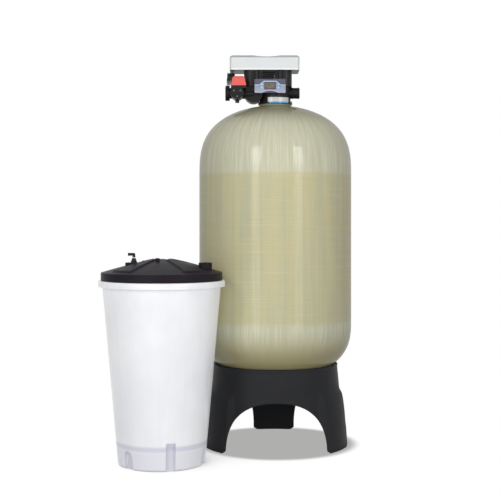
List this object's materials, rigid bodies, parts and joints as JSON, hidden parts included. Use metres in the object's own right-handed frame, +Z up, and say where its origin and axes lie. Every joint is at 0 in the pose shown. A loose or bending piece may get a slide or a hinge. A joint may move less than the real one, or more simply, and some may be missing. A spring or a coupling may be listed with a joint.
{
  "type": "water softener",
  "caption": "Twin-vessel water softener: wound pressure tank on a tripod base with a motorised disc valve, display and brine actuator, beside a tapered brine tank with a domed lid.",
  "frame": {"origin": "on the floor under the middle of the pair's bounding box", "axes": "+Z up, -Y towards the side the display faces, +X to the right as seen from that side"},
  "size_m": [1.4479, 1.3374, 2.3256],
  "materials": {
    "wound_shell": "wound glass fibre under clear resin",
    "natural_plastic": "natural polyethylene",
    "black_plastic": "moulded, fine grain",
    "base_plastic": "satin rotational moulding",
    "brine_poly": "translucent white polyethylene",
    "lid_plastic": "moulded, soft sheen",
    "cover_plastic": "moulded, satin",
    "red_plastic": "moulded, satin",
    "fascia_film": "printed film, no marks",
    "console_plastic": "moulded, fine grain",
    "lens": "clear window over a dark display",
    "button_plastic": "moulded, satin",
    "board": "solder mask",
    "steel": "zinc plated",
    "stainless": "turned",
    "ceramic": "lapped",
    "rubber": "moulded",
    "cable_jacket": "extruded jacket",
    "gravel": "washed quartz gravel",
    "resin": "ion-exchange beads",
    "white_plastic": "moulded",
    "blue_plastic": "moulded",
    "gear_nylon": "moulded",
    "grid_plastic": "moulded",
    "float_foam": "moulded"
  },
  "bodies": {
    "root": {"tank_shell": "wound_shell", "tank_liner": "natural_plastic", "neck_insert": "black_plastic", "tank_base": "base_plastic", "gravel_bed": "gravel", "resin_bed": "resin", "riser_tube": "white_plastic", "distributor_hub": "blue_plastic", "distributor_laterals": "blue_plastic", "upper_distributor": "blue_plastic", "neck_adapter": "black_plastic", "neck_oring": "rubber", "clamp_bolts": "steel", "valve_body": "black_plastic", "inlet_port": "black_plastic", "inlet_union_nut": "black_plastic", "outlet_port": "black_plastic", "drain_port": "black_plastic", "disc_seal": "rubber", "fixed_disc": "ceramic", "valve_cap": "black_plastic", "gear_housing": "black_plastic", "gear_deck": "black_plastic", "deck_screws": "steel", "drive_motor": "steel", "dust_cover": "cover_plastic", "display_housing": "console_plastic", "fascia": "fascia_film", "display_lens": "lens", "circuit_board": "board", "brine_valve_body": "black_plastic", "brine_valve_flange": "black_plastic", "ball_seats": "white_plastic", "hose_nipple": "black_plastic", "actuator_base": "black_plastic", "actuator_cover": "red_plastic", "cable_gland": "rubber", "actuator_cable": "cable_jacket", "cable_tie": "black_plastic", "brine_tank": "brine_poly", "salt_grid": "grid_plastic", "brine_well": "white_plastic", "well_cap": "white_plastic"},
    "rotor": {"moving_disc": "ceramic", "spindle": "stainless", "drive_gear": "gear_nylon"},
    "pinion": {"motor_pinion": "gear_nylon"},
    "brine_ball": {"brine_ball": "stainless", "ball_stem": "stainless"},
    "button_1": {"button_1": "button_plastic"},
    "button_2": {"button_2": "button_plastic"},
    "button_3": {"button_3": "button_plastic"},
    "button_4": {"button_4": "button_plastic"},
    "lid": {"lid": "lid_plastic", "lid_gland": "black_plastic", "pickup_tube": "white_plastic", "safety_valve": "white_plastic"},
    "elbow": {"lid_elbow": "black_plastic"},
    "float": {"float_rod": "stainless", "float": "float_foam"}
  },
  "joints": [
    {"name": "rotor_turn", "type": "hinge", "parent": "root", "child": "rotor", "pos_m": [0.267, 0.21171, 2.2486], "axis": [0, 0, 1], "continuous": true},
    {"name": "pinion_turn", "type": "hinge", "parent": "root", "child": "pinion", "pos_m": [0.171, 0.21171, 2.2486], "axis": [0, 0, 1], "continuous": true},
    {"name": "brine_ball_turn", "type": "hinge", "parent": "root", "child": "brine_ball", "pos_m": [0.039, 0.09971, 2.0966], "axis": [0, 0, 1], "range_deg": [0, 90]},
    {"name": "button_1_press", "type": "slide", "parent": "root", "child": "button_1", "axis": [0, 1, 0], "range_m": [0, 0.0008], "stiffness_N_per_m": 300},
    {"name": "button_2_press", "type": "slide", "parent": "root", "child": "button_2", "axis": [0, 1, 0], "range_m": [0, 0.0008], "stiffness_N_per_m": 300},
    {"name": "button_3_press", "type": "slide", "parent": "root", "child": "button_3", "axis": [0, 1, 0], "range_m": [0, 0.0008], "stiffness_N_per_m": 300},
    {"name": "button_4_press", "type": "slide", "parent": "root", "child": "button_4", "axis": [0, 1, 0], "range_m": [0, 0.0008], "stiffness_N_per_m": 300},
    {"name": "lid_lift", "type": "slide", "parent": "root", "child": "lid", "axis": [0, 0, 1], "range_m": [0, 0.35]},
    {"name": "elbow_swivel", "type": "hinge", "parent": "lid", "child": "elbow", "pos_m": [-0.524, -0.36371, 1.15], "axis": [0, 0, 1], "continuous": true},
    {"name": "float_rise", "type": "slide", "parent": "lid", "child": "float", "axis": [0, 0, 1], "range_m": [0, 0.025]}
  ],
  "couplings": [
    {"joint": "pinion_turn", "follows": "rotor_turn", "ratio": -3}
  ]
}
